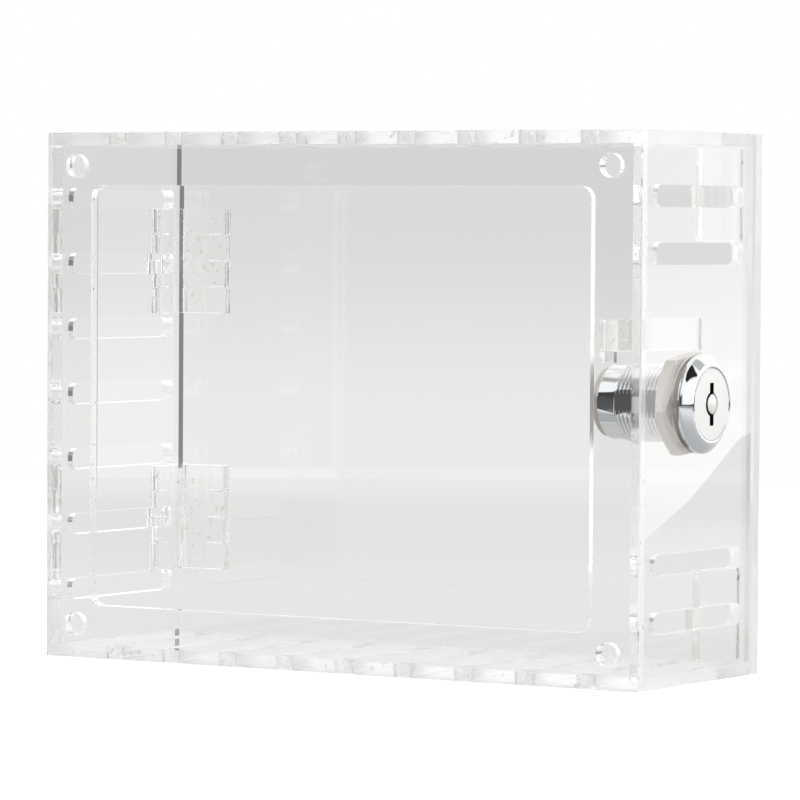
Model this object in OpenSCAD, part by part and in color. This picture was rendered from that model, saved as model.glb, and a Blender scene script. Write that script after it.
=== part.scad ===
// Clear acrylic guard box for a wall thermostat, with a hinged door and a cam lock.
// The wall plane is Y = 0, the door faces -Y and +Z is up. Sizes are in millimetres.

/* [Box] */
// Width of the box
box_w = 163; // [150:1:180]
// Height of the box
box_h = 126; // [120:1:150]
// Depth from the wall plane to the door's outer face
box_d = 58; // [56:1:70]
// Thickness of the acrylic sheet
sheet_t = 3; // [2.5:0.5:4]
// Gap between the walls' front edges and the closed door
door_gap = 1.5; // [0.5:0.5:2.5]

/* [Wall plate] */
// Width of the frame that the plate leaves around its window
frame_w = 12.7; // [12:0.1:18]
// Corner radius of the window
window_r = 3; // [1:0.5:6]
// Diameter of the four wall screw holes
screw_hole_d = 5.5; // [4:0.5:6]
// Distance from a wall screw hole's centre to the plate's edges
screw_inset = 8; // [7:0.5:9]

/* [Air slots] */
// Width of an air slot
slot_w = 5; // [4.5:0.5:6]
// Corner radius of an air slot
slot_r = 2; // [1:0.25:2]
// Distance from a slot's ends to its wall's edges
slot_margin = 4.5; // [3:0.5:8]
// Slots in the top wall, and in the bottom wall
top_slots = 9; // [5:1:11]
// Slots in the hinge side wall
hinge_wall_slots = 7; // [3:1:8]
// Slots at each end of the lock side wall
lock_wall_slots = 2; // [1:1:2]
// Distance from the box's top or bottom to the nearest slot in the lock side wall
lock_slot_inset = 14.7; // [12:0.1:18]
// Distance between neighbouring slots in the lock side wall
lock_slot_pitch = 13.1; // [10:0.1:16]

/* [Door tabs and strike] */
// Thickness of the sheet that the tabs and the strike are cut from
tab_t = 2; // [1.5:0.5:3]
// Length that a tab stands behind the door
tab_l = 19.5; // [10:0.5:19.5]
// Height of a tab
tab_h = 21.5; // [12:0.5:30]
// Gap between a tab and the lock side wall
tab_gap = 2.2; // [2.2:0.1:4]
// Gap between a tab and the top or bottom wall
tab_end_gap = 0.5; // [0.5:0.1:2]
// Corner radius of the tabs and of the strike
tab_r = 1; // [0.5:0.25:1.5]
// Distance from the lock's axis up to the strike arm
arm_rise = 11.8; // [11.8:0.2:16]
// Height of the strike arm
arm_h = 7.5; // [6:0.5:9]
// Distance from the wall plane to the strike arm's free end
arm_setback = 14; // [10:0.5:16]
// Length of the strike arm's hooked end
hook_l = 5; // [4:0.5:5.5]
// Distance from the lock side wall to the strike arm
arm_gap = 12.8; // [12.5:0.1:14]
// Width of the strike lip, which the cam turns behind
lip_w = 3; // [2.6:0.2:4]
// Free play between the turned cam and the strike lip
lip_play = 2; // [1:0.5:3]

/* [Hinges] */
// Height of a hinge
hinge_h = 26; // [20:1:32]
// Distance from the box's top or bottom to the middle of a hinge
hinge_inset = 31; // [25:1:38]
// Length of a hinge leaf from the box's corner
leaf_l = 13.5; // [12:0.5:18]
// Thickness of a hinge leaf
leaf_t = 2; // [1.5:0.1:2.2]
// Diameter of the hinge knuckles
knuckle_d = 5; // [4.8:0.1:5.4]
// Number of knuckles on a hinge
knuckles = 4; // [2:2:6]
// Gap between moving faces of a hinge
knuckle_gap = 0.3; // [0.2:0.1:0.4]
// Diameter of a hinge pin
pin_d = 2; // [1.5:0.25:2.5]
// Width of the ribbed grip band along a leaf's free edge
band_w = 6; // [4:0.5:7]
// Height of the band's tall ribs
tall_rib_h = 1.5; // [1:0.1:2]
// Height of the band's low ribs
low_rib_h = 0.9; // [0.5:0.1:0.9]

/* [Lock] */
// Distance from the wall plane to the lock's axis
lock_setback = 29; // [28:0.5:31]
// Distance from the box's middle up to the lock's axis
lock_rise = 0.9; // [-1.5:0.1:1.5]
// Thread diameter of the lock's barrel
barrel_d = 18; // [17:0.5:18.4]
// Length of the barrel behind the head
barrel_l = 22; // [20:0.1:24]
// Length of the barrel's plain end
tail_l = 4.8; // [3:0.2:6]
// Depth that the plain end is turned down under the thread
tail_cut = 0.4; // [0.2:0.1:0.6]
// Depth of the two flats along the barrel
flat_cut = 0.7; // [0.5:0.1:0.9]
// How far the head stands out round the barrel
head_lip = 2.4; // [1.6:0.1:3.4]
// Height of the lock's head
head_h = 2.9; // [2.5:0.1:5]
// Diameter of the plug's face
face_d = 16.8; // [15:0.1:17]
// Thickness of the plug's face
face_t = 1.1; // [0.8:0.1:1.4]
// Diameter of the plug
plug_d = 12; // [11:0.5:12.5]
// Height of the keyway
key_h = 9.8; // [8:0.1:10.5]
// Width of the keyway
key_w = 1.8; // [1.4:0.1:2.2]
// Radius of the keyway's round middle
key_r = 2.8; // [2.4:0.1:3]
// Number of wafers in the plug
wafers = 5; // [3:1:5]
// Thickness of a wafer
wafer_t = 0.9; // [0.6:0.1:1.2]
// Wall of the nut between its bore and its flats
nut_wall = 2; // [1.5:0.1:2]
// Thickness of the nut
nut_t = 4; // [3:0.5:5]
// Angle from upright at which the nut sits tightened
nut_turn = 7.5; // [0:2.5:30]
// Thickness of the washer under the nut
washer_t = 0.6; // [0.4:0.1:1]

/* [Cam] */
// Thickness of the cam
cam_t = 1.4; // [1.2:0.1:1.6]
// Width of the cam
cam_w = 8; // [7:0.5:8.5]
// Width across the flats of the plug's drive
drive_w = 6.5; // [6:0.5:6.5]
// Thickness of the stop washer
stop_t = 1.3; // [0.8:0.1:1.6]
// Angle that the cam turns through
cam_turn = 90; // [60:10:90]
// Diameter of the cam screw
screw_d = 3; // [2.5:0.5:3]
// Length of the cam screw under its head
screw_l = 8; // [6:0.5:9]

/* [Hidden] */
$fn = 64;

// Radial clearances: a part that turns in a bore, and a part that is pushed through a hole
run = 0.05;
fit = 0.2;
// Distance that a cut runs past the face it opens
over = 1;

// Walls between the plate and the door
wall_d = box_d - 2 * sheet_t - door_gap;
wall_mid_y = -(sheet_t + wall_d / 2);
side_h = box_h - 2 * sheet_t;
slot_l = wall_d - 2 * slot_margin;
door_back_y = -(box_d - sheet_t);
lock_wall_in_x = -(box_w / 2 - sheet_t);

// Strike, measured from the lock's axis and from the lock side wall
arm_x = lock_wall_in_x + arm_gap;
nut_clear = 0.5;
head_d = barrel_d + 2 * head_lip;
nut_af = barrel_d + 2 * nut_wall;
nut_corner_r = nut_af / 2 / cos(30);
hook_drop = barrel_d / 2 + 0.3;
lip_drop = nut_corner_r * cos(30 - nut_turn) + nut_clear;
lip_l = lock_setback - cam_w / 2 - lip_play - arm_setback;

// Hinge pin, clear of the box's corner on both faces
pin_off = knuckle_d / 2;
pin_x = box_w / 2 + pin_off;
pin_y = -(box_d + pin_off);
knuckle_h = (hinge_h - (knuckles - 1) * knuckle_gap) / knuckles;
knuckle_step = knuckle_h + knuckle_gap;

// Lock, along its own axis: 0 is the lock side wall's outer face, outward is positive
head_edge_h = 0.7;
head_rim_w = 0.4;
face_sink = 0.1;
face_edge = 0.25;
recess_r = face_d / 2 + run;
recess_z = head_h - face_sink - face_t - run;
flat_y = barrel_d / 2 - flat_cut;
clip_t = 0.8;
clip_bite = 0.7;
clip_r = plug_d / 2 + clip_bite;
clip_bore_r = clip_r + run;
clip_bore_h = clip_t + 4 * run;
tail_r = barrel_d / 2 - tail_cut;
end_r = min(0.5, 0.5 * (tail_r - clip_bore_r));
stop_z = -barrel_l - 2 * run;
cam_z = stop_z - stop_t;
cam_back_z = cam_z - cam_t;
drive_end_z = cam_back_z + 2 * run;
drive_r = 0.65 * drive_w;
key_depth = 13;
post_r = 0.85 * key_r;
post_off = 0.5 * key_r;
post_sink = 0.03;
post_dome = 0.5;
wafer_w = 5.2;
wafer_pitch = 2.2;
first_wafer_z = recess_z - 2;
wafer_window_h = 7.6;
wafer_window_w = 3.6;

// Stop lug and the stop washer's notch
lug_in_r = 7;
lug_out_r = flat_y - 0.3;
lug_half = 10;
lug_play = 1;
notch_in_r = lug_in_r - fit;

// Cam, bent back along the barrel so that its tip turns behind the strike lip
cam_hub_r = 5.6;
crank_gap = 0.3;
crank_r = barrel_d / 2 + crank_gap;
bend_r = 0.6;
cam_side_gap = 1;
tip_z = -(sheet_t + arm_gap) + cam_side_gap;
cam_reach = arm_rise + arm_h - 1;
screw_head_r = 3.2;
screw_head_h = 1.2;
screw_slot_w = 0.8;
screw_washer_r = 4.8;
screw_washer_t = 0.4;

// Points along an arc round (x, y), from one angle to another
function arc(x, y, r, from, to, steps = 8) =
    [for (i = [0 : steps]) let (a = from + (to - from) * i / steps)
        [x + r * cos(a), y + r * sin(a)]];

// Rectangle round the origin with rounded corners
module round_rect(w, h, r) {
    square([w - 2 * r, h], center = true);
    square([w, h - 2 * r], center = true);
    for (sx = [-1, 1], sy = [-1, 1])
        translate([sx * (w / 2 - r), sy * (h / 2 - r)]) circle(r);
}

// Sheet cut in the X-Z plane whose wall-side face is at y
module upright_sheet(y, t) {
    translate([0, y, 0]) rotate([90, 0, 0]) linear_extrude(t) children();
}

// Sheet cut in the Y-Z plane whose low-X face is at x
module side_sheet(x, t) {
    translate([x, 0, 0]) rotate([90, 0, 90]) linear_extrude(t) children();
}

module air_slot(turned = false) {
    rotate(turned ? 90 : 0) round_rect(slot_l, slot_w, slot_r);
}

module back_plate() {
    hole_x = box_w / 2 - screw_inset;
    hole_z = box_h / 2 - screw_inset;
    color("lightcyan", 0.5) upright_sheet(0, sheet_t) difference() {
        square([box_w, box_h], center = true);
        round_rect(box_w - 2 * frame_w, box_h - 2 * frame_w, window_r);
        for (sx = [-1, 1], sz = [-1, 1])
            translate([sx * hole_x, sz * hole_z]) circle(d = screw_hole_d);
    }
}

// Flat slotted wall whose lower face is at z
module level_wall(z) {
    pitch = box_w / (top_slots + 1);
    color("lightcyan", 0.5) translate([0, wall_mid_y, z]) linear_extrude(sheet_t) difference() {
        square([box_w, wall_d], center = true);
        for (i = [1 : top_slots])
            translate([i * pitch - box_w / 2, 0]) air_slot(turned = true);
    }
}

module top_wall() {
    level_wall(box_h / 2 - sheet_t);
}

module bottom_wall() {
    level_wall(-box_h / 2);
}

module hinge_side_wall() {
    pitch = box_h / (hinge_wall_slots + 1);
    color("lightcyan", 0.5) side_sheet(box_w / 2 - sheet_t, sheet_t) translate([wall_mid_y, 0])
        difference() {
            square([wall_d, side_h], center = true);
            for (i = [1 : hinge_wall_slots])
                translate([0, i * pitch - box_h / 2]) air_slot();
        }
}

module lock_side_wall() {
    color("lightcyan", 0.5) side_sheet(-box_w / 2, sheet_t) difference() {
        translate([wall_mid_y, 0]) square([wall_d, side_h], center = true);
        for (s = [-1, 1], i = [0 : lock_wall_slots - 1])
            translate([wall_mid_y, s * (box_h / 2 - lock_slot_inset - i * lock_slot_pitch)])
                air_slot();
        translate([-lock_setback, lock_rise]) circle(d = barrel_d + 2 * fit);
    }
}

module front_door() {
    color("lightcyan", 0.5) upright_sheet(door_back_y, sheet_t)
        square([box_w, box_h], center = true);
}

// Sheet outline in the Y-Z plane with its front edge on the door and its back corners rounded
module door_fin(l, z0, z1) {
    difference() {
        translate([door_back_y, z0]) square([l, z1 - z0]);
        translate([door_back_y + l, z0]) corner_cut(tab_r);
        translate([door_back_y + l, z1]) mirror([0, 1]) corner_cut(tab_r);
    }
}

// What rounding takes off a sheet's corner at the origin, for a sheet on its upper left
module corner_cut(r) {
    difference() {
        translate([-r, -over]) square([r + over, r + over]);
        translate([-r, r]) circle(r);
    }
}

module door_tab(side) {
    z_out = box_h / 2 - sheet_t - tab_end_gap;
    color("azure", 0.5) side_sheet(lock_wall_in_x + tab_gap, tab_t)
        mirror([0, side < 0 ? 1 : 0]) door_fin(tab_l, z_out - tab_h, z_out);
}

module upper_door_tab() {
    door_tab(1);
}

module lower_door_tab() {
    door_tab(-1);
}

module strike_arm() {
    arm_l = -door_back_y - arm_setback;
    top = arm_rise + arm_h;
    color("azure", 0.5) side_sheet(arm_x, tab_t) translate([0, lock_rise]) union() {
        door_fin(arm_l, arm_rise, top);
        translate([-arm_setback - hook_l, hook_drop]) square([hook_l, top - hook_drop - tab_r]);
    }
}

module strike_lip() {
    top = arm_rise + arm_h;
    color("azure", 0.5) side_sheet(arm_x - lip_w, lip_w) translate([0, lock_rise]) difference() {
        translate([-arm_setback - lip_l, lip_drop]) square([lip_l, top - lip_drop]);
        translate([-arm_setback, top]) mirror([0, 1]) corner_cut(tab_r);
    }
}

// Half-round rib of chord w and height h, standing on the x axis below it
module rib_section(w, h) {
    r = (w * w / 4 + h * h) / (2 * h);
    intersection() {
        translate([0, r - h]) circle(r);
        translate([-w / 2, -h]) square([w, h + 0.2]);
    }
}

// One leaf in its own plan: along x from the pin, glued face at y = pin_off, knuckles up z.
// bare is the stretch past its sheet, where the leaf's inner face stands back.
module leaf(first, bare) {
    low_y = pin_off - leaf_t;
    end_x = pin_off + leaf_l;
    clear_x = pin_off + knuckle_gap;
    glued_x = max(bare, clear_x);
    difference() {
        union() {
            linear_extrude(hinge_h) {
                translate([clear_x, low_y]) square([end_x - clear_x, leaf_t - knuckle_gap]);
                translate([glued_x, low_y]) square([end_x - glued_x, leaf_t]);
            }
            for (i = [0 : knuckles - 1])
                translate([end_x - band_w / 2, low_y, i * knuckle_step])
                    linear_extrude(knuckle_h)
                        rib_section(band_w, i % 2 == first ? tall_rib_h : low_rib_h);
            for (i = [first : 2 : knuckles - 1])
                translate([0, 0, i * knuckle_step]) linear_extrude(knuckle_h) {
                    circle(d = knuckle_d);
                    translate([0, low_y]) square([pin_off + 2 * knuckle_gap, leaf_t - knuckle_gap]);
                }
        }
        translate([0, 0, -over]) cylinder(d = pin_d + 2 * run, h = hinge_h + 2 * over);
    }
}

module at_hinge(side) {
    translate([pin_x, pin_y, side * (box_h / 2 - hinge_inset) - hinge_h / 2]) children();
}

module wall_leaf(side) {
    color("white", 0.6) at_hinge(side) rotate(90) leaf(0, pin_off + sheet_t + door_gap);
}

module door_leaf(side) {
    color("white", 0.6) at_hinge(side) mirror([1, 0, 0]) leaf(1, pin_off);
}

module hinge_pin(side) {
    color("gainsboro") at_hinge(side) cylinder(d = pin_d, h = hinge_h);
}

module upper_hinge_wall_leaf() {
    wall_leaf(1);
}

module upper_hinge_door_leaf() {
    door_leaf(1);
}

module upper_hinge_pin() {
    hinge_pin(1);
}

module lower_hinge_wall_leaf() {
    wall_leaf(-1);
}

module lower_hinge_door_leaf() {
    door_leaf(-1);
}

module lower_hinge_pin() {
    hinge_pin(-1);
}

// Lock parts are drawn upright: z is outward along the lock's axis, x is up on the box
module at_lock() {
    translate([-box_w / 2, -lock_setback, lock_rise]) rotate([0, -90, 0]) children();
}

// Flat ring sector between two radii and two angles of under half a turn
module ring_sector(in_r, out_r, from, to) {
    far = 2 * out_r;
    mid = (from + to) / 2;
    intersection() {
        difference() {
            circle(out_r);
            circle(in_r);
        }
        polygon([[0, 0], [far * cos(from), far * sin(from)], [far * cos(mid), far * sin(mid)],
            [far * cos(to), far * sin(to)]]);
    }
}

module lock_housing() {
    head_r = head_d / 2;
    rim_r = recess_r + head_rim_w;
    barrel_r = barrel_d / 2;
    bore_r = plug_d / 2 + run;
    slope_h = head_h - head_edge_h;
    slope_w = head_r - rim_r;
    color("silver") at_lock() union() {
        difference() {
            rotate_extrude() polygon(concat(
                [[clip_bore_r, -barrel_l]],
                arc(tail_r - end_r, -barrel_l + end_r, end_r, -90, 0),
                [[tail_r, -barrel_l + tail_l - tail_cut], [barrel_r, -barrel_l + tail_l]],
                [[barrel_r, 0], [head_r, 0], [head_r, head_edge_h]],
                [for (i = [1 : 6]) let (s = i / 6)
                    [head_r - slope_w * pow(s, 1.35), head_edge_h + slope_h * s]],
                [[recess_r, head_h], [recess_r, recess_z], [bore_r, recess_z],
                    [bore_r, -barrel_l + clip_bore_h], [clip_bore_r, -barrel_l + clip_bore_h]]
            ));
            for (s = [0, 1])
                mirror([0, s, 0]) translate([-head_r, flat_y, -barrel_l - over])
                    cube([head_d, flat_cut + over, barrel_l + over]);
        }
        translate([0, 0, stop_z - stop_t])
            linear_extrude(stop_t + end_r + 4 * run)
                ring_sector(lug_in_r, lug_out_r, -90 - lug_half, -90 + lug_half);
    }
}

module lock_washer() {
    color("silver") at_lock() translate([0, 0, -sheet_t - washer_t]) linear_extrude(washer_t)
        difference() {
            circle(d = nut_af + 2 * fit);
            circle(d = barrel_d + 2 * fit);
        }
}

module lock_nut() {
    chamfer = nut_corner_r - nut_af / 2;
    color("silver") at_lock() translate([0, 0, -sheet_t - washer_t - nut_t]) difference() {
        intersection() {
            rotate(30 + nut_turn) cylinder(r = nut_corner_r, h = nut_t, $fn = 6);
            rotate_extrude() polygon([[0, 0], [nut_af / 2, 0], [nut_corner_r, chamfer / 2],
                [nut_corner_r, nut_t - chamfer / 2], [nut_af / 2, nut_t], [0, nut_t]]);
        }
        translate([0, 0, -over]) cylinder(d = barrel_d + 2 * run, h = nut_t + 2 * over);
    }
}

// Outline of the drive: a square with its corners turned round
module drive_section(clear = 0) {
    intersection() {
        square(drive_w + 2 * clear, center = true);
        circle(drive_r + clear);
    }
}

module lock_plug() {
    face_z = head_h - face_sink;
    groove_z = -barrel_l + 2 * run;
    color("gainsboro") at_lock() difference() {
        union() {
            translate([0, 0, face_z - face_t]) rotate_extrude() polygon([[0, 0], [face_d / 2, 0],
                [face_d / 2, face_t - face_edge], [face_d / 2 - face_edge, face_t], [0, face_t]]);
            translate([0, 0, -barrel_l]) cylinder(d = plug_d, h = barrel_l + face_z - face_t);
            translate([0, 0, drive_end_z])
                linear_extrude(-barrel_l - drive_end_z) drive_section();
        }
        keyway(face_z);
        for (i = [0 : wafers - 1])
            translate([0, 0, first_wafer_z - i * wafer_pitch - run])
                linear_extrude(wafer_t + 2 * run)
                    square([plug_d + over, wafer_w + 2 * run], center = true);
        translate([0, 0, groove_z - run]) linear_extrude(clip_t + 2 * run) difference() {
            circle(d = plug_d + over);
            circle(plug_d / 2 - clip_bite + run);
        }
        translate([0, 0, drive_end_z - over])
            cylinder(d = screw_d + 2 * run, h = screw_l + over);
    }
}

// Key slot with a round middle, and a domed post that stands in the round part
module keyway(face_z) {
    difference() {
        translate([0, 0, face_z - key_depth]) linear_extrude(key_depth + over) {
            square([key_h, key_w], center = true);
            circle(key_r);
        }
        translate([0, -post_off, face_z - key_depth - over]) rotate_extrude()
            polygon(concat([[0, 0], [post_r, 0]],
                [for (i = [0 : 6]) let (a = 15 * i)
                    [post_r * cos(a), key_depth + over - post_sink - post_dome * (1 - sin(a))]]));
    }
}

module plug_wafers() {
    color("goldenrod") at_lock() for (i = [0 : wafers - 1])
        translate([0, 0, first_wafer_z - i * wafer_pitch]) linear_extrude(wafer_t) difference() {
            intersection() {
                square([plug_d, wafer_w], center = true);
                circle(plug_d / 2 - run);
            }
            square([wafer_window_h, wafer_window_w], center = true);
        }
}

module plug_clip() {
    color("silver") at_lock() translate([0, 0, -barrel_l + 2 * run]) linear_extrude(clip_t)
        difference() {
            circle(clip_r);
            circle(plug_d / 2 - clip_bite + 2 * run);
            translate([plug_d / 2, 0]) square([plug_d, plug_d / 3], center = true);
        }
}

module cam_stop_washer() {
    color("silver") at_lock() translate([0, 0, cam_z]) linear_extrude(stop_t) difference() {
        circle(lug_out_r);
        ring_sector(notch_in_r, barrel_d, -90 - cam_turn - lug_half - lug_play,
            -90 + lug_half + lug_play);
        drive_section(run);
    }
}

// The cam's outline as cut from flat strip
module cam_plan() {
    circle(cam_hub_r);
    translate([-cam_w / 2, -(cam_reach - cam_w / 2)]) square([cam_w, cam_reach - cam_w / 2]);
    translate([0, -(cam_reach - cam_w / 2)]) circle(d = cam_w);
}

// The cam's edge view: y outward from the axis, z along the lock
module cam_bends() {
    out_r = cam_t + bend_r;
    crank_out = crank_r + cam_t;
    polygon(concat(
        [[-cam_hub_r, cam_back_z]],
        arc(crank_out - out_r, cam_back_z + out_r, out_r, -90, 0, 4),
        arc(crank_out + bend_r, tip_z - bend_r, bend_r, 180, 90, 4),
        [[cam_reach, tip_z], [cam_reach, tip_z + cam_t]],
        arc(crank_r + out_r, tip_z + cam_t - out_r, out_r, 90, 180, 4),
        arc(crank_r - bend_r, cam_z + bend_r, bend_r, 0, -90, 4),
        [[-cam_hub_r, cam_z]]
    ));
}

module lock_cam() {
    color("silver") at_lock() difference() {
        intersection() {
            translate([0, 0, cam_back_z - over])
                linear_extrude(tip_z + cam_t - cam_back_z + 2 * over) cam_plan();
            translate([-cam_hub_r - over, 0, 0]) rotate([90, 0, 90]) mirror([1, 0])
                linear_extrude(2 * (cam_hub_r + over)) cam_bends();
        }
        translate([0, 0, cam_back_z - over]) linear_extrude(cam_t + 2 * over) drive_section(run);
    }
}

module cam_screw_washer() {
    color("silver") at_lock() translate([0, 0, cam_back_z - screw_washer_t])
        linear_extrude(screw_washer_t) difference() {
            circle(screw_washer_r);
            circle(d = screw_d + 2 * fit);
        }
}

module cam_screw() {
    seat_z = cam_back_z - screw_washer_t;
    color("silver") at_lock() difference() {
        union() {
            translate([0, 0, seat_z - screw_head_h]) rotate_extrude() polygon(concat(
                [[0, 0]],
                arc(screw_head_r - bend_r, bend_r, bend_r, -90, 0, 4),
                [[screw_head_r, screw_head_h], [0, screw_head_h]]
            ));
            translate([0, 0, seat_z]) cylinder(d = screw_d, h = screw_l - screw_washer_t);
        }
        for (a = [0, 90])
            rotate(a) translate([-screw_head_r / 2, -screw_slot_w / 2, seat_z - screw_head_h - over])
                cube([screw_head_r, screw_slot_w, screw_head_h / 2 + over]);
    }
}

back_plate();
top_wall();
bottom_wall();
hinge_side_wall();
lock_side_wall();
front_door();
upper_door_tab();
lower_door_tab();
strike_arm();
strike_lip();
upper_hinge_wall_leaf();
upper_hinge_door_leaf();
upper_hinge_pin();
lower_hinge_wall_leaf();
lower_hinge_door_leaf();
lower_hinge_pin();
lock_housing();
lock_washer();
lock_nut();
lock_plug();
plug_wafers();
plug_clip();
cam_stop_washer();
lock_cam();
cam_screw_washer();
cam_screw();
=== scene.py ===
# %% [markdown]
# # A clear acrylic guard box with a cam lock
# The real object is a lock box that is screwed over a wall thermostat. Five laser-cut acrylic
# sheets are glued into a box, a sixth is its hinged door, and a chrome cam lock holds the door
# shut. Nearly all of it is see-through, so the picture depends on its edges, its glue lines and
# the few metal parts. The CAD model gives every part its exact size and place, and this script
# gives each one the edges, finish and light of the real thing.

# %% Load the frame
import math

import bpy
from mathutils import Matrix, Vector


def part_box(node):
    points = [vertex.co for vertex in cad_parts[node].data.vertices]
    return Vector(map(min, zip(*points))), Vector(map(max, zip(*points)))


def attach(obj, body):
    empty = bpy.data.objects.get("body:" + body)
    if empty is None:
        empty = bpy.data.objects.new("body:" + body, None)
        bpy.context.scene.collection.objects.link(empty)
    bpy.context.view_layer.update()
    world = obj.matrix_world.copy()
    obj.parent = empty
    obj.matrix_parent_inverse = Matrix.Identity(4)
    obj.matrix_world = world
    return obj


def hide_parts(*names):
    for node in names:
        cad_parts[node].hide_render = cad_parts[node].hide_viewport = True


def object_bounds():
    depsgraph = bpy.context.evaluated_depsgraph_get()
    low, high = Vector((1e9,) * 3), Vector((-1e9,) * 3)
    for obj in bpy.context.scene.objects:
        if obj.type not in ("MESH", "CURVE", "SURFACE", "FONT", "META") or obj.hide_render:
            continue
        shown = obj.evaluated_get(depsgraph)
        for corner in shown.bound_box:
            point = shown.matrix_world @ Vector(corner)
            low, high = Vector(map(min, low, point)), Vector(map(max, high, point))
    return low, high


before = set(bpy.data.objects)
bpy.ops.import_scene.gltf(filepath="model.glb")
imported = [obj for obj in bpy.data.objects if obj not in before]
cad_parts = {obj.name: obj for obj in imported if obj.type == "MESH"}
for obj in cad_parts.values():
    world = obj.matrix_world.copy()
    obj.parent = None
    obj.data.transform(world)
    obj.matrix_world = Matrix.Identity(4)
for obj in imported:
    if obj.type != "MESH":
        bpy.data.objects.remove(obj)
cad_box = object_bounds()
MM = 0.001

# %% [markdown]
# ## The camera
# The photograph was taken with a long lens, a little above the box's middle, from behind the
# wall plate. A camera can be moved by eye until the picture fits, but in a clear box every
# edge shows twice, so small errors show too. The place and turn below were worked out from
# where the box's corners lie in the picture. A long lens keeps parallel edges nearly parallel.

# %% Camera
camera_data = bpy.data.cameras.new("photo_camera")
camera_data.sensor_width = 36.0
camera_data.lens = 220.91
camera = bpy.data.objects.new("photo_camera", camera_data)
bpy.context.scene.collection.objects.link(camera)
camera.location = (-0.61495, 0.95905, 0.04118)
camera.rotation_euler = [math.radians(a) for a in (87.9656, -0.3621, -148.1117)]
bpy.context.scene.camera = camera
print("camera is", round(camera.location.length, 3), "m from the box, lens", camera_data.lens)

# %% [markdown]
# ## Taking one piece at a time
# An operator works on whatever is selected, and the frame arrives selected, so every step
# starts by selecting one piece alone. A copy of a CAD node starts as loose triangles. Merging
# its doubles makes one skin, and dissolving flat edges gives clean faces that a bevel can
# follow. A modifier is applied at once, so that the next step works on the shape it leaves.

# %% Select one piece, copy a CAD node, apply a modifier, shade
SAME_POINT = 0.002 * MM
STILL_FLAT = math.radians(0.4)


def take(piece):
    """Leaves this piece alone selected and active."""
    if bpy.context.object and bpy.context.object.mode != "OBJECT":
        bpy.ops.object.mode_set(mode="OBJECT")
    bpy.ops.object.select_all(action="DESELECT")
    piece.select_set(True)
    bpy.context.view_layer.objects.active = piece
    return piece


def edit_all(piece):
    """Opens the piece in edit mode, with all of it selected."""
    take(piece)
    bpy.ops.object.mode_set(mode="EDIT")
    bpy.ops.mesh.select_all(action="SELECT")


def copy_of(node, name, dissolve=True):
    """A new piece in the shape of a CAD node, as one merged skin."""
    piece = bpy.data.objects.new(name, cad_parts[node].data.copy())
    bpy.context.scene.collection.objects.link(piece)
    piece.data.name = name
    piece.data.materials.clear()
    edit_all(piece)
    bpy.ops.mesh.remove_doubles(threshold=SAME_POINT)
    if dissolve:
        bpy.ops.mesh.dissolve_limited(angle_limit=STILL_FLAT)
    bpy.ops.object.mode_set(mode="OBJECT")
    bpy.ops.object.shade_flat()
    return piece


def apply_modifier(piece, kind, **settings):
    """Adds one modifier with these settings and applies it."""
    take(piece)
    modifier = piece.modifiers.new(kind.title(), kind)
    for key, value in settings.items():
        setattr(modifier, key, value)
    bpy.ops.object.modifier_apply(modifier=modifier.name)


def shade(piece, smooth_under=None):
    """Shades the piece flat, or smooth across edges that turn by less than this in degrees."""
    take(piece)
    if smooth_under is None:
        bpy.ops.object.shade_flat()
    else:
        bpy.ops.object.shade_smooth_by_angle(angle=math.radians(smooth_under))


print("helpers ready, points closer than", SAME_POINT / MM, "mm are merged")

# %% [markdown]
# ## Nodes and colours
# Colours are written as a designer would, in sRGB hex, and one function turns them to the
# linear values that shaders use. One helper adds a node with its settings and links, so that
# a material reads as a list of what it is made of.

# %% Colour and node helpers
WHITE = (1, 1, 1, 1)


def linear(hex_code):
    """An sRGB hex colour as linear RGBA."""
    channels = [int(hex_code[i:i + 2], 16) / 255 for i in (1, 3, 5)]
    return [c / 12.92 if c <= 0.04045 else ((c + 0.055) / 1.055) ** 2.4 for c in channels] + [1.0]


def add_node(material, kind, inputs=None, **settings):
    """Adds a node. An input's value is a number, a colour or another node's output."""
    node = material.node_tree.nodes.new(kind)
    for key, value in settings.items():
        setattr(node, key, value)
    for key, value in (inputs or {}).items():
        if isinstance(value, bpy.types.NodeSocket):
            material.node_tree.links.new(value, node.inputs[key])
        else:
            node.inputs[key].default_value = value
    return node


def new_material(name):
    """An empty material and its output node."""
    material = bpy.data.materials.new(name)
    material.use_nodes = True
    material.node_tree.nodes.clear()
    return material, add_node(material, "ShaderNodeOutputMaterial")


def plug_in(material, output, shader):
    """Makes this shader the one that the material or the world shows."""
    material.node_tree.links.new(shader.outputs[0], output.inputs["Surface"])


print("pale grey #F2F2F2 in linear values:", [round(c, 3) for c in linear("#F2F2F2")])

# %% [markdown]
# ## Clear plastic
# Cast acrylic, PMMA, has an index of refraction of 1.49 and hardly any colour. A glass shader
# would do for its look, but lamps shine through real acrylic, and a ray tracer only allows
# that when the shadow rays meet a transparent shader. So each clear material mixes one in for
# them. The sheet's faces are glossy as cast. Where the laser cut it, the edge is melted smooth
# but rippled. It scatters light that has travelled inside the sheet, so a cut edge looks
# white. That light takes too many bounces to trace, and a faint glow stands in for it.

# %% Cast acrylic and its edges
ACRYLIC_IOR = 1.49


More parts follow.
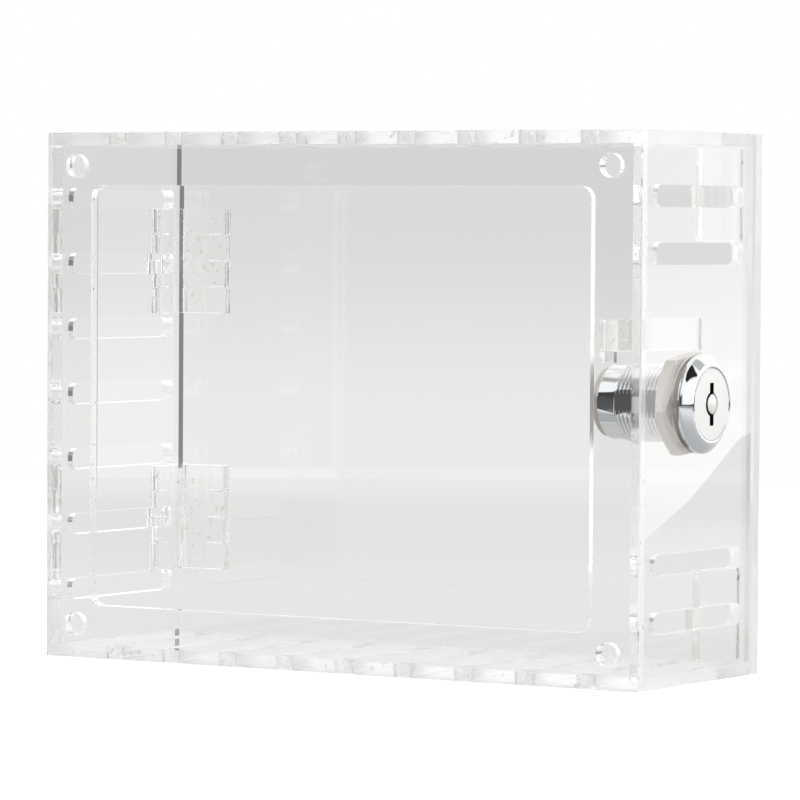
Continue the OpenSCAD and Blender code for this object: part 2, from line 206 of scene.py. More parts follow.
def clear_material(name, colour, roughness, clear_share, bump=None, glow=0.0):
    """A clear plastic. clear_share is how much passes, and the rest scatters as white."""
    material, output = new_material(name)
    plastic = add_node(material, "ShaderNodeBsdfPrincipled", {
        "Base Color": linear(colour), "Roughness": roughness, "IOR": ACRYLIC_IOR,
        "Transmission Weight": clear_share, "Emission Color": WHITE, "Emission Strength": glow})
    open_air = add_node(material, "ShaderNodeBsdfTransparent", {"Color": linear("#FBFBFA")})
    path = add_node(material, "ShaderNodeLightPath")
    mix = add_node(material, "ShaderNodeMixShader", {
        0: path.outputs["Is Shadow Ray"], 1: plastic.outputs[0], 2: open_air.outputs[0]})
    plug_in(material, output, mix)
    if bump:
        bump(material, plastic)
    return material


def ripple_of_the_laser(material, plastic):
    """A fine ripple, drawn at 0.35 mm where the real one is about 0.1 mm, so that it shows."""
    place = add_node(material, "ShaderNodeTexCoord")
    noise = add_node(material, "ShaderNodeTexNoise", {
        "Vector": place.outputs["Object"], "Scale": 1 / (0.35 * MM), "Detail": 2.0})
    bump = add_node(material, "ShaderNodeBump", {
        "Height": noise.outputs["Fac"], "Strength": 0.25, "Distance": 0.05 * MM})
    material.node_tree.links.new(bump.outputs["Normal"], plastic.inputs["Normal"])


# Glossy as cast: everything shows through it, and it keeps a faint mirror image of the room.
cast_acrylic = clear_material("cast_acrylic", "#FEFEFE", 0.0, 1.0)
# Melted smooth by the laser: frosty white, with bright flecks and a faint painted glow.
cut_edge = clear_material("laser_cut_edge", "#FFFFFF", 0.12, 0.74, ripple_of_the_laser, 0.04)
# Sanded by hand, so that the door's rim isn't sharp: matt and chalk-pale, with a painted glow.
sanded_edge = clear_material("sanded_edge", "#FFFFFF", 0.35, 0.35, ripple_of_the_laser, 0.05)
# Sanded too, at the front of the lock's wall: a strong painted glow, for the light that
# comes out of the sheet here, makes it look white.
front_edge_painted_glow = clear_material("sanded_front_edge_painted_glow", "#FFFFFF", 0.35, 0.35, ripple_of_the_laser, 0.25)
# The top sheet's end: cut as the others are, but greyer on the real object, as it carries
# less light from inside. A greyer colour and a weaker glow paint that shade.
top_end_painted_shade = clear_material("top_sheet_end_painted_shade", "#F2F2F1", 0.12, 0.74, ripple_of_the_laser, 0.02)
print("edges:", [m.name for m in (cut_edge, sanded_edge, front_edge_painted_glow, top_end_painted_shade)])

# %% [markdown]
# ## Glue and moulded plastic
# Solvent cement melts two acrylic faces into one, so a good joint can't be seen. Two sheets
# that only touch would mirror light between them. One way out is to join their meshes, but
# then a joint could not have a look of its own. Here the glued patch of each sheet is
# transparent, apart from spots where air stayed in the cement.

# %% Cemented joints and moulded clear plastic
def bubbles_in_glue(material, plastic):
    """Air bubbles about 0.8 mm apart in the film of solvent cement."""
    place = add_node(material, "ShaderNodeTexCoord")
    cells = add_node(material, "ShaderNodeTexVoronoi", {
        "Vector": place.outputs["Object"], "Scale": 1 / (0.8 * MM)})
    bump = add_node(material, "ShaderNodeBump", {
        "Height": cells.outputs["Distance"], "Strength": 0.6, "Distance": 0.15 * MM})
    material.node_tree.links.new(bump.outputs["Normal"], plastic.inputs["Normal"])


def cemented(name, air_share):
    """A joint that is optically one with the sheets, apart from about this share of air."""
    material, output = new_material(name)
    joined = add_node(material, "ShaderNodeBsdfTransparent", {"Color": linear("#FFFFFF")})
    bubble = add_node(material, "ShaderNodeBsdfPrincipled", {
        "Base Color": linear("#F3F0EE"), "Roughness": 0.12, "IOR": ACRYLIC_IOR,
        "Transmission Weight": 0.8})
    bubbles_in_glue(material, bubble)
    place = add_node(material, "ShaderNodeTexCoord")
    noise = add_node(material, "ShaderNodeTexNoise", {
        "Vector": place.outputs["Object"], "Scale": 1 / (1.6 * MM), "Detail": 3.0})
    # The noise runs from about 0.3 to 0.7, and there is air where it is over the limit.
    limit = 0.67 - 0.35 * air_share
    spot = add_node(material, "ShaderNodeMapRange", {
        "Value": noise.outputs["Fac"], "From Min": limit, "From Max": limit + 0.04})
    path = add_node(material, "ShaderNodeLightPath")
    no_shadow = add_node(material, "ShaderNodeMath", {0: 1.0, 1: path.outputs["Is Shadow Ray"]},
                         operation="SUBTRACT")
    air = add_node(material, "ShaderNodeMath", {0: spot.outputs[0], 1: no_shadow.outputs[0]},
                   operation="MULTIPLY")
    plug_in(material, output, add_node(material, "ShaderNodeMixShader", {
        0: air.outputs[0], 1: joined.outputs[0], 2: bubble.outputs[0]}))
    return material


# Cement that ran well: the joint is as clear as the sheet, with a few silvery specks.
solvent_joint = cemented("solvent_cement_joint", 0.1)
# Cement that dried with air in it: a cloudy patch full of small bubbles.
bubbly_joint = cemented("bubbly_cement_joint", 0.95)
# Moulded in a polished steel mould: nearly as clear as the sheet, and a little milky.
moulded_clear = clear_material("injection_moulded_clear_plastic", "#FFFFFF", 0.02, 0.985)
print("joints:", solvent_joint.name, bubbly_joint.name)

# %% [markdown]
# ## Metals
# The lock's body is die-cast zinc with a bright chrome plate. The plug's face is a satin
# nickel that was brushed. The nut, washers, clip and cam are zinc-plated steel, and the
# wafers that the key lifts are brass. A picture of brushed metal could be wrapped round each
# piece, but noise on object coordinates needs no unwrapping and has its grain at true size.

# %% Chrome, satin nickel, zinc and brass
def metal(name, colour, roughness, grain_mm, grain_strength, stretch=(1, 1, 1)):
    """A metal whose fine grain is squeezed across the way it was brushed."""
    material, output = new_material(name)
    shader = add_node(material, "ShaderNodeBsdfPrincipled", {
        "Base Color": linear(colour), "Metallic": 1.0, "Roughness": roughness})
    plug_in(material, output, shader)
    place = add_node(material, "ShaderNodeTexCoord")
    squeezed = add_node(material, "ShaderNodeMapping", {
        "Vector": place.outputs["Object"], "Scale": stretch})
    noise = add_node(material, "ShaderNodeTexNoise", {
        "Vector": squeezed.outputs[0], "Scale": 1 / (grain_mm * MM), "Detail": 3.0})
    bump = add_node(material, "ShaderNodeBump", {
        "Height": noise.outputs["Fac"], "Strength": grain_strength, "Distance": 0.02 * MM})
    material.node_tree.links.new(bump.outputs["Normal"], shader.inputs["Normal"])
    rough = add_node(material, "ShaderNodeMapRange", {
        "Value": noise.outputs["Fac"], "To Min": roughness * 0.8, "To Max": roughness * 1.25})
    material.node_tree.links.new(rough.outputs[0], shader.inputs["Roughness"])
    return material


# Chrome over a buffed casting: it mirrors the room, with hard light and dark shapes.
chrome_plate = metal("bright_chrome_plate", "#D2D4D6", 0.05, 1.2, 0.05)
# Brushed nickel: a soft, pale sheen without a mirror image.
satin_nickel = metal("satin_nickel_face", "#DBDAD8", 0.34, 0.25, 0.2, (1, 1, 8))
# The keyway's walls: metal painted nearly black, as painted shade deep in the recess,
# where hardly any light gets in.
painted_keyway_shade = metal("keyway_walls_painted_shade", "#3B3835", 0.5, 0.4, 0.2)
# Zinc plate on steel: a dull, warm grey, slightly mottled.
zinc_steel = metal("zinc_plated_steel", "#BFB9B3", 0.45, 0.6, 0.35)
# Rolled brass: yellow and fairly bright.
wafer_brass = metal("lock_brass", "#C9A765", 0.28, 0.3, 0.15)
# The hinge pins are plastic: cloudy, because they aren't polished.
pin_plastic = clear_material("moulded_hinge_pin", "#F2F2F0", 0.2, 0.5)
print("metals:", [m.name for m in (chrome_plate, satin_nickel, painted_keyway_shade, zinc_steel, wafer_brass)])

# %% [markdown]
# ## The acrylic sheets
# Each sheet was cut flat by a laser, so only its two broad faces are glossy, and its rim and
# the walls of its slots are cut edges. They could be modelled again from a plane, but the CAD
# node already has every slot in its place, so a copy of it is dressed instead.

# %% The sheets and what they are glued to
SHEETS = {
    # CAD node: (piece, body, slot, axis across the sheet)
    "back_plate": ("wall_plate", "box", "clear_acrylic", 1),
    "top_wall": ("slotted_top", "box", "clear_acrylic", 2),
    "bottom_wall": ("slotted_bottom", "box", "clear_acrylic", 2),
    "hinge_side_wall": ("slotted_hinge_side", "box", "clear_acrylic", 0),
    "lock_side_wall": ("slotted_lock_side", "box", "clear_acrylic", 0),
    "front_door": ("door_sheet", "door", "clear_acrylic", 1),
    "upper_door_tab": ("upper_tab", "door", "thin_acrylic", 0),
    "lower_door_tab": ("lower_tab", "door", "thin_acrylic", 0),
    "strike_arm": ("strike_arm_sheet", "door", "thin_acrylic", 0),
    "strike_lip": ("strike_lip_block", "door", "thin_acrylic", 0),
}

WALLS = ("top_wall", "bottom_wall", "hinge_side_wall", "lock_side_wall")
JOINTS = [("back_plate", wall) for wall in WALLS]
JOINTS += [(level, side) for level in WALLS[:2] for side in WALLS[2:]]
JOINTS += [("front_door", "upper_door_tab"), ("front_door", "lower_door_tab"),
           ("front_door", "strike_arm"), ("strike_arm", "strike_lip")]
for side in ("upper", "lower"):
    JOINTS += [("hinge_side_wall", f"{side}_hinge_wall_leaf"),
               ("front_door", f"{side}_hinge_door_leaf")]
BUBBLY = ("upper_door_tab", "lower_door_tab", "strike_arm")
print(len(SHEETS), "sheets,", len(JOINTS), "glued joints")

# %% [markdown]
# ## Glued patches
# A joint covers a part of a face, such as the strip of the wall plate on which a wall stands.
# A mask in the material could draw it, but then the mesh would not know where it is. So the
# skin is cut along the patch's four sides with the bisect operator, and the faces inside get
# the number of the joint's material. The flat faces are dissolved again afterwards, but not
# across a change of material.

# %% A copy of a node, cut round its glued patches
FINISHES = range(5)
FACE, EDGE, JOINT, BUBBLY_JOINT, OWN_EDGE = FINISHES
SQUARE = 0.98  # a face is square to an axis when its normal has at least this along it
IN_PLANE = 0.05 * MM


def touching(node, other):
    """Across which axis two glued nodes touch, and the low and high corner of the patch."""
    one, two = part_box(node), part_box(other)
    low = [max(a, b) for a, b in zip(one[0], two[0])]
    high = [min(a, b) for a, b in zip(one[1], two[1])]
    return min(range(3), key=lambda i: high[i] - low[i]), low, high


def glued_copy(node, name, finish_of_face):
    """A copy of a node whose glued patches are faces of their own.

    A face on a patch gets the joint's number, and any other what finish_of_face says."""
    piece = copy_of(node, name, dissolve=False)
    patches = []
    for pair in JOINTS:
        if node in pair:
            finish = BUBBLY_JOINT if set(pair) & set(BUBBLY) else JOINT
            patches.append((*touching(*pair), finish))
    edit_all(piece)
    for across, low, high, _ in patches:
        for axis in {0, 1, 2} - {across}:
            for place in (low[axis], high[axis]):
                bpy.ops.mesh.select_all(action="SELECT")
                bpy.ops.mesh.bisect(plane_co=[place if i == axis else 0 for i in range(3)],
                                    plane_no=[float(i == axis) for i in range(3)],
                                    threshold=0.001 * MM)
    bpy.ops.object.mode_set(mode="OBJECT")
    for face in piece.data.polygons:
        face.material_index = finish_of_face(face)
        for across, low, high, finish in patches:
            in_plane = (abs(face.normal[across]) > SQUARE
                        and abs(face.center[across] - low[across]) < IN_PLANE)
            if in_plane and all(low[i] < face.center[i] < high[i] for i in {0, 1, 2} - {across}):
                face.material_index = finish
    for _ in FINISHES:
        piece.data.materials.append(None)
    edit_all(piece)
    bpy.ops.mesh.dissolve_limited(angle_limit=STILL_FLAT, delimit={"MATERIAL"})
    bpy.ops.object.mode_set(mode="OBJECT")
    return piece


print("a face has one of", len(FINISHES), "finishes")

# %% [markdown]
# ## Finishing the sheets
# The copies are drawn in by a hundredth of a millimetre, because two clear solids that share
# a face would confuse the light. Their sharp edges are then eased a little, which gives each
# one its thin highlight. A wider bevel would make the sheets look moulded instead of cut.

# %% Sheets with glossy faces and cut edges
GLUE_GAP = 0.01
EASED = 0.12
OWN_EDGES = {"front_door": sanded_edge, "lock_side_wall": front_edge_painted_glow, "top_wall": top_end_painted_shade}


def shrink(piece, by_mm):
    """Draws every face in by this much."""
    edit_all(piece)
    bpy.ops.transform.shrink_fatten(value=-by_mm * MM, use_even_offset=True)
    bpy.ops.object.mode_set(mode="OBJECT")


def ease_edges(piece, width_mm, harden=False):
    """Rounds the sharp edges, as a saw, a mould or a polishing wheel leaves them."""
    apply_modifier(piece, "BEVEL", width=width_mm * MM, segments=2,
                   limit_method="ANGLE", angle_limit=math.radians(30),
                   offset_type="OFFSET", use_clamp_overlap=True, harden_normals=harden)


def settle(piece, body, slot, *nodes):
    """Attaches the piece to its body and hides its CAD nodes. slot is not used."""
    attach(piece, body)
    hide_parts(*nodes)


def finish_faces(piece, *finishes):
    """Gives the piece its materials, in the order of its faces' numbers."""
    for slot, finish in enumerate(finishes):
        piece.data.materials[slot] = finish


def sheet_finish(node, across, face):
    """The number of this face's finish. across is the axis through the sheet's thickness."""
    to_lock_side, to_front = face.normal.x < -SQUARE, face.normal.y < -SQUARE
    if abs(face.normal[across]) > SQUARE:
        return FACE
    # Two edges look clear on the real object: the one at the door, and one side of the window.
    if node == "hinge_side_wall" and to_front:
        return FACE
    if node == "back_plate" and to_lock_side and face.center.x > 0:
        return FACE
    own = {"front_door": True, "lock_side_wall": to_front, "top_wall": to_lock_side}
    return OWN_EDGE if own.get(node) else EDGE


for node, (name, body, slot, across) in SHEETS.items():
    sheet = glued_copy(node, name, lambda face: sheet_finish(node, across, face))
    shrink(sheet, GLUE_GAP)
    ease_edges(sheet, EASED)
    shade(sheet)
    finish_faces(sheet, cast_acrylic, cut_edge, solvent_joint, bubbly_joint,
                 OWN_EDGES.get(node, sanded_edge))
    settle(sheet, body, slot, node)
    print(f"{name}: {len(sheet.data.polygons)} faces")

# %% [markdown]
# ## The hinges
# Clear moulded hinges are glued on, with one leaf on the side wall and the other on the door,
# and a pin through their knuckles. They could be modelled from plates and cylinders, but the
# CAD nodes have every knuckle already, so copies of them are dressed. The knuckles are shaded
# smooth up to 30 degrees. A bevel alone would bend the light on the flat leaves, so its normals
# are hardened, which keeps the flat faces flat.

# %% Hinge leaves and pins
for side in ("upper", "lower"):
    for leaf, body in (("wall", "box"), ("door", "door")):
        node = f"{side}_hinge_{leaf}_leaf"
        piece = glued_copy(node, f"{side}_{leaf}_leaf", lambda face: FACE)
        shrink(piece, GLUE_GAP)
        shade(piece, 30)
        ease_edges(piece, EASED, harden=True)
        finish_faces(piece, moulded_clear, moulded_clear, solvent_joint, bubbly_joint,
                     moulded_clear)
        settle(piece, body, "moulded_clear_plastic", node)
    pin = copy_of(f"{side}_hinge_pin", f"{side}_pin")
    ease_edges(pin, 0.2)
    shade(pin, 30)
    pin.data.materials.append(pin_plastic)
    settle(pin, "box", "hinge_pin_plastic", f"{side}_hinge_pin")
    print(f"{side} hinge: pin with {len(pin.data.polygons)} faces")

# %% [markdown]
# ## The lock's thread
# A thread is cut after the body is turned. A bump in the material could draw it, but its
# outline against the light would stay straight. So the cutter is modelled: a small triangle
# is swept by the Screw modifier into a helix, and a Boolean takes it out of the barrel.

# %% Thread cutter
LOCK_WALL_X, LOCK_Y, LOCK_Z = -81.5, -29.0, 0.9
THREAD_ROOT_R, THREAD_CREST_R, THREAD_PITCH = 8.4, 9.3, 1.0
THREAD_FROM, THREAD_TO = LOCK_WALL_X + 0.9, LOCK_WALL_X + 18.0


def thread_cutter(root_r, crest_r, pitch, from_x, to_x):
    """A helix of triangular section round the lock's axis, from and to X in millimetres."""
    bpy.ops.object.select_all(action="DESELECT")
    bpy.ops.mesh.primitive_circle_add(vertices=3, radius=0.5 * MM, fill_type="NOTHING")
    cutter = bpy.context.object
    cutter.name = "thread_cutter"
    half = 0.45 * pitch * MM
    corners = [(root_r * MM, 0, 0), (crest_r * MM, 0, half), (crest_r * MM, 0, -half)]
    for vertex, place in zip(cutter.data.vertices, corners):
        vertex.co = place
    turns = int((to_x - from_x) / pitch)
    apply_modifier(cutter, "SCREW", axis="Z", angle=2 * math.pi, screw_offset=pitch * MM,
                   iterations=turns, steps=64, render_steps=64, use_normal_calculate=True)
    bpy.ops.object.mode_set(mode="EDIT")
    bpy.ops.mesh.select_all(action="DESELECT")
    bpy.ops.mesh.select_non_manifold()
    bpy.ops.mesh.edge_face_add()
    bpy.ops.mesh.select_all(action="SELECT")
    bpy.ops.mesh.normals_make_consistent(inside=False)
    bpy.ops.object.mode_set(mode="OBJECT")
    cutter.data.transform(Matrix.Rotation(math.radians(90), 4, "Y"))
    cutter.data.transform(Matrix.Translation((from_x * MM, LOCK_Y * MM, LOCK_Z * MM)))
    return cutter


def cut_thread(barrel):
    """Cuts the thread and evens the shading of the flats that the cut leaves."""
    cutter = thread_cutter(THREAD_ROOT_R, THREAD_CREST_R, THREAD_PITCH, THREAD_FROM, THREAD_TO)
    apply_modifier(barrel, "BOOLEAN", object=cutter, operation="DIFFERENCE", solver="EXACT")
    bpy.data.objects.remove(cutter)
    shade(barrel, 35)
    apply_modifier(barrel, "WEIGHTED_NORMAL", keep_sharp=True, weight=100)


print("thread:", THREAD_TO - THREAD_FROM, "mm long, pitch", THREAD_PITCH, "mm")

# %% [markdown]
# ## The lock's pieces
# Each piece of the lock is a CAD node with its own finish. The cam and the nut get a wider
# eased edge than the small pieces. The plug is satin nickel in front, and its keyway's walls
# get a near-black metal as painted shade of the deep recess. It could be cut in two pieces
# for that. Two materials on one mesh do it without a seam, and each face gets its number by
# how deep and how far out it lies.

# %% Lock metals
METALS = {
    # CAD node: (piece, body, slot, finish, width of the eased edges in mm, if they are eased)
    "lock_housing": ("lock_body", "box", "chrome_plate", chrome_plate, None),
    "lock_washer": ("nut_washer", "box", "zinc_steel", zinc_steel, 0.1),
    "lock_nut": ("barrel_nut", "box", "zinc_steel", zinc_steel, 0.15),
    "lock_plug": ("lock_core", "plug", "satin_nickel", satin_nickel, None),
    "plug_wafers": ("core_wafers", "plug", "wafer_brass", wafer_brass, 0.05),
    "plug_clip": ("core_clip", "plug", "zinc_steel", zinc_steel, 0.1),
    "cam_stop_washer": ("turn_stop_washer", "plug", "zinc_steel", zinc_steel, 0.1),
    "lock_cam": ("bent_cam", "plug", "zinc_steel", zinc_steel, 0.2),
    "cam_screw_washer": ("screw_washer", "plug", "zinc_steel", zinc_steel, 0.1),
    "cam_screw": ("cross_screw", "plug", "zinc_steel", zinc_steel, 0.1),
}
KEYWAY_FROM, KEYWAY_TO, KEYWAY_R = 0.6, 14, 5.2


def darken_keyway(piece, node):
    """Gives the keyway's walls near-black painted shade, and shades the plug's face flat."""
    face_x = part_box(node)[0].x
    piece.data.materials.append(painted_keyway_shade)
    for face in piece.data.polygons:
        depth = face.center.x - face_x
        if face.normal.x < -0.999:
            face.use_smooth = False
        elif 0.01 * MM < depth < KEYWAY_TO * MM:
            out = math.hypot(face.center.y - LOCK_Y * MM, face.center.z - LOCK_Z * MM)
            face.material_index = int(out < KEYWAY_R * MM and depth > KEYWAY_FROM * MM)


for node, (name, body, slot, finish, eased) in METALS.items():
    piece = copy_of(node, name, dissolve=bool(eased))
    if node == "lock_housing":
        cut_thread(piece)
    elif node == "lock_plug":
        shade(piece, 30)
    else:
        shade(piece, 35)
        ease_edges(piece, eased, harden=True)
    piece.data.materials.clear()
    piece.data.materials.append(finish)
    if node == "lock_plug":
        darken_keyway(piece, node)
    settle(piece, body, slot, node)
    print(f"{name}: {len(piece.data.polygons)} faces")

# %% [markdown]
# ## The table
# A product photographer stands clear plastic before a grey paper and keeps the room behind the
# camera dark. The sheets then look pale grey, their cut edges shine white, and chrome gets its
# contrast: it mirrors a white ceiling, a dark room and a pale table. To have a white page round
# the object as well, each kind of ray gets its own answer from the table and from the world.
# The camera sees a white page. A ray that has passed through plastic sees the grey paper. A
# ray that a surface mirrors sees the studio. All others see plain white paper, so that colours
# render as they are written.

# %% Table
TABLE_R = 0.88
PAPER_TINT = (1.0, 0.991, 0.98, 1)
MIRROR_TINT = (0.99, 0.995, 1.0, 1)
TABLE_TONES = {
    # what changes: (from, to, in metres from the table's middle, and its value at both)
    "paper near the box": (0.25, 0.5, 0.075, 0.03),
    "paper far off": (0.62, TABLE_R, 0.737, 0.825),
    "mirrored table": (0.1, 0.35, 0.65, 1.15),
    "dark at the mirrored rim": (0.5, TABLE_R, 0.0, 1.03),
}


def answer_by_ray(material, others, mirrored, refracted, seen):
    """Gives mirrored, refracted and camera rays a shader of their own, and one to the others."""
    path = add_node(material, "ShaderNodeLightPath")
    answer = others
    for ray, own in (("Glossy", mirrored), ("Transmission", refracted), ("Camera", seen)):
        answer = add_node(material, "ShaderNodeMixShader", {
            0: path.outputs[f"Is {ray} Ray"], 1: answer.outputs[0], 2: own.outputs[0]})
    return answer


bpy.ops.object.select_all(action="DESELECT")
bpy.ops.mesh.primitive_circle_add(vertices=96, radius=TABLE_R, fill_type="NGON",
                                  location=(0, 0, cad_box[0][2]))
floor = bpy.context.object
floor.name = "studio_table"
paper, paper_output = new_material("white_paper")
white = add_node(paper, "ShaderNodeBsdfDiffuse", {"Color": linear("#F2F2F2")})
glow = add_node(paper, "ShaderNodeEmission", {"Color": WHITE, "Strength": 0.35})
white_page = add_node(paper, "ShaderNodeAddShader", {0: white.outputs[0], 1: glow.outputs[0]})
spot = add_node(paper, "ShaderNodeTexCoord").outputs["Object"]
far = add_node(paper, "ShaderNodeVectorMath", {0: spot}, operation="LENGTH").outputs["Value"]
tone = {}
for change, (start, end, at_start, at_end) in TABLE_TONES.items():
    tone[change] = add_node(paper, "ShaderNodeMapRange", {
        "Value": far, "From Min": start, "From Max": end, "To Min": at_start, "To Max": at_end},
        interpolation_type="SMOOTHSTEP").outputs[0]
paper_light = add_node(paper, "ShaderNodeMath", {
    0: tone["paper near the box"], 1: tone["paper far off"]})
through = add_node(paper, "ShaderNodeEmission", {
    "Color": PAPER_TINT, "Strength": paper_light.outputs[0]})
mirrored_light = add_node(paper, "ShaderNodeMath", {
    0: tone["mirrored table"], 1: tone["dark at the mirrored rim"]}, operation="SUBTRACT")
mirrored = add_node(paper, "ShaderNodeEmission", {
    "Color": MIRROR_TINT, "Strength": mirrored_light.outputs[0]})
plug_in(paper, paper_output, answer_by_ray(paper, white, mirrored, through, white_page))
floor.data.materials.append(paper)
print("table radius:", TABLE_R, "m")

# %% [markdown]
# ## The room
# The room could be built from walls and lamps, but the chrome and the sheets only need to know
# how bright each direction is. The world can say that with a few soft steps, laid one over
# another. A step follows one axis of the ray's direction, and three steps make a card, which
# is a rectangle that is seen in one direction.

# %% Soft steps and cards of brightness
world = bpy.data.worlds.new("studio")
bpy.context.scene.world = world
world.use_nodes = True
world.node_tree.nodes.clear()
world_output = add_node(world, "ShaderNodeOutputWorld")
look = add_node(world, "ShaderNodeTexCoord").outputs["Generated"]
axes = add_node(world, "ShaderNodeSeparateXYZ", {0: look})
y, z = axes.outputs["Y"], axes.outputs["Z"]


def laid_over(under, over, *steps):
    """One brightness with another laid over it, where all of these soft steps are 1.

    A step is a node's output and the two values at which the step is 0 and 1."""
    mask = None
    for value, start, end in steps:
        step = add_node(world, "ShaderNodeMapRange", {
            "Value": value, "From Min": start, "From Max": end},
            interpolation_type="SMOOTHSTEP")
        if mask:
            step = add_node(world, "ShaderNodeMath", {0: mask.outputs[0], 1: step.outputs[0]},
                            operation="MULTIPLY")
        mask = step
    return add_node(world, "ShaderNodeMix", {0: mask.outputs[0], 2: under, 3: over}).outputs[0]


def card(centre, across_deg, up_deg, soft_deg):
    """The three steps of a rectangle of this size, seen in this direction."""
    centre = Vector(centre).normalized()
    right = centre.cross(Vector((0, 0, 1))).normalized()
    top = right.cross(centre)
    ahead = add_node(world, "ShaderNodeVectorMath", {0: look, 1: centre}, operation="DOT_PRODUCT")
    steps = [(ahead.outputs["Value"], 0.0, 0.1)]
    soft = math.sin(math.radians(soft_deg))
    for axis, size in ((right, across_deg), (top, up_deg)):
        along = add_node(world, "ShaderNodeVectorMath", {0: look, 1: axis}, operation="DOT_PRODUCT")
        away = add_node(world, "ShaderNodeMath", {0: along.outputs["Value"]}, operation="ABSOLUTE")
        half = math.sin(math.radians(size / 2))
        steps.append((away.outputs[0], half + soft, half - soft))
    return steps


print("the world's brightness follows its", look.name, "coordinates")

# %% [markdown]
# ## What plastic lets through, and what metal mirrors
# Through the sheets the camera looks at the grey paper, which is darkest at eye level. The
# plastic also bends some rays up, where it is bright, and back past the camera, where it is
# dim. The room that surfaces mirror has a white ceiling. It is dark behind the camera, and a
# black, a grey and a white card draw the shapes in the chrome. A dark band lies just under eye
# level, and below it the room is pale again.

# %% The world's brightness, by direction and by kind of ray
grey_paper = laid_over(0.895, 0.765, (z, -0.042, 0.004))
grey_paper = laid_over(grey_paper, 0.95, (z, 0.025, 0.06))
behind_camera = laid_over(0.2, 0.5, (z, 0.33, 0.38))
behind_camera = laid_over(behind_camera, 0.2, (z, 0.48, 0.53))
behind_camera = laid_over(behind_camera, 0.6, (z, 0.7, 0.78))
upward = laid_over(grey_paper, 1.6, (z, 0.12, 0.4))
downward = laid_over(0.92, 0.68, (y, 0.0, 0.3))
through_plastic = laid_over(upward, behind_camera, (y, 0.0, 0.2))
through_plastic = laid_over(through_plastic, downward, (z, -0.05, -0.3))

CEILING = 1.5
room = laid_over(CEILING, 0.06, (y, 0.4, 0.65), (z, 0.42, 0.25))
room = laid_over(room, 0.03, *card((-0.609, -0.037, 0.777), 30, 34, 1.5))
room = laid_over(room, 0.75, *card((-0.45, -0.45, 0.77), 20, 30, 3.0))
room = laid_over(room, 1.9, *card((-0.528, -0.849, 0.25), 60, 34, 2.0))
room = laid_over(room, 0.12, (z, -0.012, -0.02))
room = laid_over(room, 1.0, (z, -0.062, -0.068))
room = laid_over(room, 0.6, (z, -0.12, -0.5))

even_white = add_node(world, "ShaderNodeBackground", {"Color": WHITE, "Strength": 1.0})
mirrored_room = add_node(world, "ShaderNodeBackground", {"Color": WHITE, "Strength": room})
behind_sheets = add_node(world, "ShaderNodeBackground", {
    "Color": PAPER_TINT, "Strength": through_plastic})
plug_in(world, world_output,
        answer_by_ray(world, even_white, mirrored_room, behind_sheets, even_white))
print("world nodes:", len(world.node_tree.nodes))

# %% [markdown]
# ## A pane of still air
# The open slots in the hinge side wall have no plastic behind them, yet they show the same grey
# paper. A pane of still air stands inside that wall. Its index of refraction is 1, so it bends
# and mirrors nothing, and a ray that crosses it counts as one that has passed through something.

# %% Pane inside the hinge side wall
PANE_SIZE = (0.051, 0.119)
PANE_X, PANE_Y = 78.3, -28.6
bpy.ops.object.select_all(action="DESELECT")
bpy.ops.mesh.primitive_plane_add(size=1.0)
pane = bpy.context.object
pane.name = "still_air"
pane.data.transform(Matrix.Diagonal((*PANE_SIZE, 1.0, 1.0)))
pane.data.transform(Matrix.Rotation(math.radians(90), 4, "X"))
pane.data.transform(Matrix.Rotation(math.radians(90), 4, "Z"))
pane.data.transform(Matrix.Translation((PANE_X * MM, PANE_Y * MM, 0)))
air, air_output = new_material("still_air")
crossing = add_node(air, "ShaderNodeBsdfRefraction", {"IOR": 1.0, "Roughness": 0.0})
clear = add_node(air, "ShaderNodeBsdfTransparent")
way = add_node(air, "ShaderNodeLightPath")
plug_in(air, air_output, add_node(air, "ShaderNodeMixShader", {
    0: way.outputs["Is Camera Ray"], 1: clear.outputs[0], 2: crossing.outputs[0]}))
pane.data.materials.append(air)
print("pane of air:", PANE_SIZE, "m")

# %% [markdown]
# ## Light beside the lock's wall
# The lock's side wall mirrors a soft box that stands close to it, whose edge crosses the wall
# at a slant. A card in the world is infinitely far off, and under a long lens a flat wall
# mirrors nearly one direction only, so it would show all of such a card or none. So the soft
# box and a white paper behind it are real planes. Only mirrored rays see the one, and only
# refracted rays see the other.

# %% Side soft box and side paper
SIDE_PLACE = Vector((-0.2482, -0.3368, 0.0))
SIDE_ACROSS = Vector((-0.8794, 0.4762, 0.0))
SIDE_AWAY = Vector((-0.4762, -0.8794, 0.0))


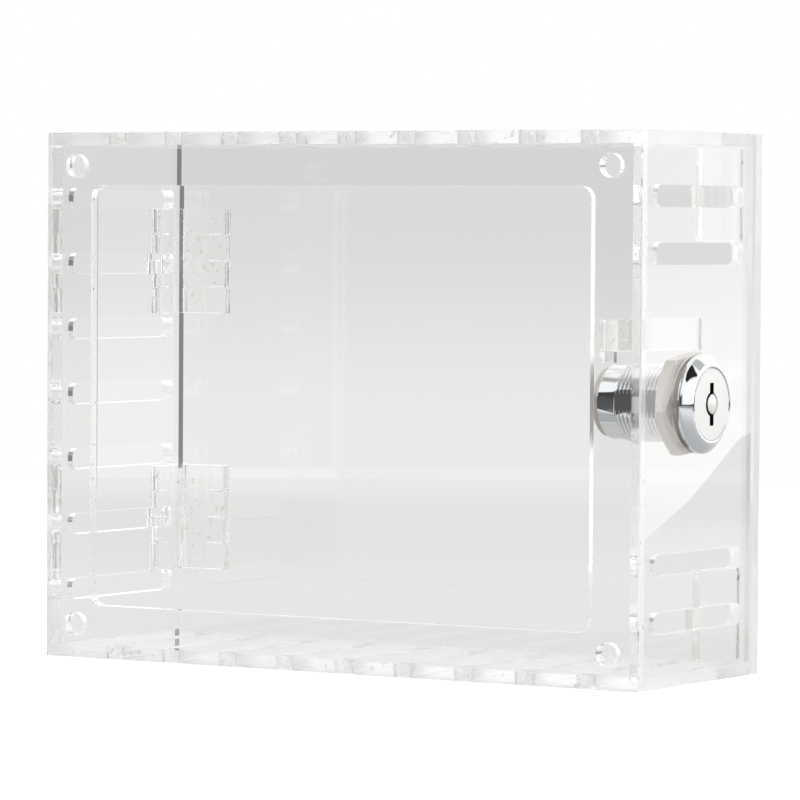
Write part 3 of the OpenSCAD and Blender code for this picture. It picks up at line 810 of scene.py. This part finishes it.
def light_card(name, corners_mm, brightness, back_mm=0.0, mirrored=True):
    """A flat white card beside the box, from its corners across and up, in millimetres."""
    bpy.ops.object.select_all(action="DESELECT")
    bpy.ops.mesh.primitive_circle_add(vertices=len(corners_mm), fill_type="NGON")
    plane = bpy.context.object
    plane.name = name
    middle = SIDE_PLACE + SIDE_AWAY * back_mm * MM
    for vertex, (across, up) in zip(plane.data.vertices, corners_mm):
        vertex.co = middle + SIDE_ACROSS * across * MM + Vector((0, 0, up * MM))
    material, output = new_material(name)
    plug_in(material, output, add_node(material, "ShaderNodeEmission", {"Strength": brightness}))
    plane.data.materials.append(material)
    plane.visible_camera = plane.visible_diffuse = plane.visible_shadow = False
    plane.visible_glossy, plane.visible_transmission = mirrored, not mirrored
    print(f"{name}: {len(corners_mm)} corners, brightness {brightness}")


light_card("side_soft_box", [(31, 97), (-18, 97), (-19, -18), (-12, -22), (2.6, -40.5),
                             (17.5, -54), (31, -62)], 1.9)
light_card("side_paper", [(600, 500), (-68, 500), (-68, -62), (600, -62)], 1.3, 10, False)

# %% [markdown]
# ## The lamp
# The world lights the object evenly. A sun lamp would add a hard shadow. One soft box hangs
# over the object instead, on the camera's side, and adds a soft one. It stays out of mirror
# images, because the world already paints what the chrome mirrors.

# %% Soft box
def soft_box(name, place, aim, width, height, strength):
    """A rectangular lamp. strength is the brightness of its face, where white paper is 1."""
    lamp = bpy.data.lights.new(name, "AREA")
    lamp.shape, lamp.size, lamp.size_y = "RECTANGLE", width, height
    lamp.energy = strength * width * height * math.pi
    holder = bpy.data.objects.new(name, lamp)
    bpy.context.scene.collection.objects.link(holder)
    holder.location = place
    holder.rotation_euler = (Vector(aim) - Vector(place)).to_track_quat("-Z", "Y").to_euler()
    holder.visible_glossy = False
    holder.visible_transmission = False
    return holder


top_lamp = soft_box("top_soft_box", (-0.3, 0.3, 1.1), (0, 0, 0), 0.8, 0.8, 0.5)
print("lamp:", round(top_lamp.data.energy, 3), "W")

# %% [markdown]
# ## Render settings
# A ray can cross a dozen faces of the clear sheets and be mirrored inside each, and each time
# counts as a bounce. Past the usual limit it ends in black. Fewer sheets or a plain
# transparent shader would need less, but wouldn't look like acrylic, so the limits are raised.
# The Standard view keeps colours as they are written.

# %% Settings that belong to clear plastic
scene = bpy.context.scene
scene.view_settings.view_transform = "Standard"
scene.cycles.max_bounces = 48
scene.cycles.transmission_bounces = 48
scene.cycles.glossy_bounces = 32
scene.cycles.transparent_max_bounces = 32
print("bounces:", scene.cycles.max_bounces)
